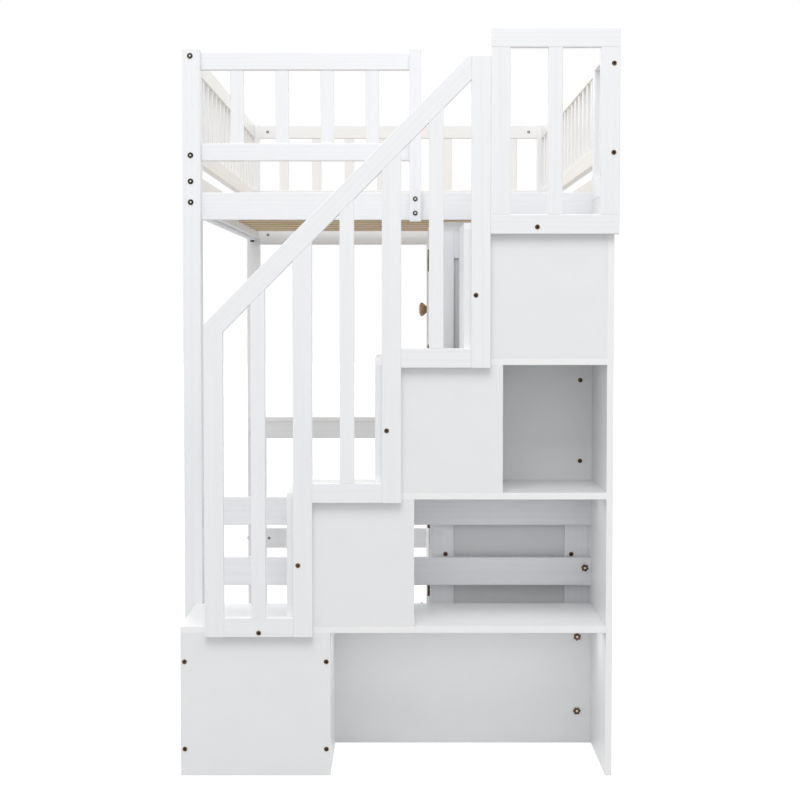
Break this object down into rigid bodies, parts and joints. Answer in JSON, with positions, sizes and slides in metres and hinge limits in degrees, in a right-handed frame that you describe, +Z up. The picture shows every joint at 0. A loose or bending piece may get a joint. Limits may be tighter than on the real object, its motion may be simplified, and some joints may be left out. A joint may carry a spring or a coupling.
{
  "type": "loft bed",
  "caption": "Twin loft bed in white painted pine with guard rails, a stair unit with open shelves across one end, and a three-door cabinet and a desk under the slatted deck.",
  "frame": {"origin": "on the floor, under the middle of the whole outline", "axes": "+X to the right seen from the stair end, +Y along the bed away from the stair end, +Z up"},
  "size_m": [1.065, 2.3832, 1.718],
  "materials": {
    "white_painted_pine": "white lacquer over pine, faint grain, satin",
    "white_melamine_board": "white melamine-faced board, smooth, satin",
    "natural_pine": "bare planed pine",
    "black_bronze_steel": "black-bronze plated steel",
    "bronze_steel": "antique bronze plated steel",
    "varnished_knob_wood": "brown varnish over turned wood, semi-gloss"
  },
  "bodies": {
    "bed": {"back_deck_rail": "white_painted_pine", "back_guard_panel": "white_painted_pine", "back_low_rail": "white_painted_pine", "barrel_nuts": "bronze_steel", "cabinet_back_panel": "white_melamine_board", "cabinet_hinge_leaves": "bronze_steel", "cabinet_shelves": "white_melamine_board", "cabinet_side_back": "white_painted_pine", "cabinet_side_front": "white_painted_pine", "cabinet_top_board": "white_melamine_board", "deck_slats": "natural_pine", "desk_back_apron": "white_painted_pine", "desk_front_apron": "white_painted_pine", "desk_leg_left": "white_painted_pine", "desk_leg_right": "white_painted_pine", "desk_top": "white_melamine_board", "divider_boards": "white_melamine_board", "frame_bolts": "black_bronze_steel", "front_brace_rail_lower": "white_painted_pine", "front_brace_rail_upper": "white_painted_pine", "front_deck_rail": "white_painted_pine", "front_guard_panel": "white_painted_pine", "front_guard_stub_post": "white_painted_pine", "landing_board": "white_melamine_board", "landing_guard_frame": "white_painted_pine", "landing_side_guard": "white_painted_pine", "panel_screws": "bronze_steel", "post_back_left": "white_painted_pine", "post_back_right": "white_painted_pine", "post_front_left": "white_painted_pine", "post_front_right": "white_painted_pine", "riser_boards": "white_melamine_board", "side_deck_rail_left": "white_painted_pine", "side_deck_rail_right": "white_painted_pine", "side_guard_left": "white_painted_pine", "side_guard_right": "white_painted_pine", "stair_back_boards": "white_melamine_board", "stair_guard_balusters": "white_painted_pine", "stair_guard_bottom_rails": "white_painted_pine", "stair_guard_posts": "white_painted_pine", "stair_handrail": "white_painted_pine", "stair_newel_post": "white_painted_pine", "stair_side_panel": "white_melamine_board", "star_bolts": "bronze_steel", "step_front_1": "white_melamine_board", "step_front_2": "white_melamine_board", "step_front_3": "white_melamine_board", "step_front_4": "white_melamine_board", "tread_1": "white_melamine_board", "tread_2": "white_melamine_board", "tread_3": "white_melamine_board"},
    "lower_door": {"lower_door": "white_painted_pine", "lower_door_hinge_leaves": "bronze_steel", "lower_door_knob": "varnished_knob_wood"},
    "middle_door": {"middle_door": "white_painted_pine", "middle_door_hinge_leaves": "bronze_steel", "middle_door_knob": "varnished_knob_wood"},
    "upper_door": {"upper_door": "white_painted_pine", "upper_door_hinge_leaves": "bronze_steel", "upper_door_knob": "varnished_knob_wood"}
  },
  "joints": [
    {"name": "lower_door_hinge", "type": "hinge", "parent": "bed", "child": "lower_door", "pos_m": [0.0788, -0.74445, 0], "axis": [0, 0, 1], "range_deg": [0, 90]},
    {"name": "middle_door_hinge", "type": "hinge", "parent": "bed", "child": "middle_door", "pos_m": [0.0788, -0.74445, 0], "axis": [0, 0, 1], "range_deg": [0, 90]},
    {"name": "upper_door_hinge", "type": "hinge", "parent": "bed", "child": "upper_door", "pos_m": [0.0788, -0.74445, 0], "axis": [0, 0, 1], "range_deg": [0, 90]}
  ]
}
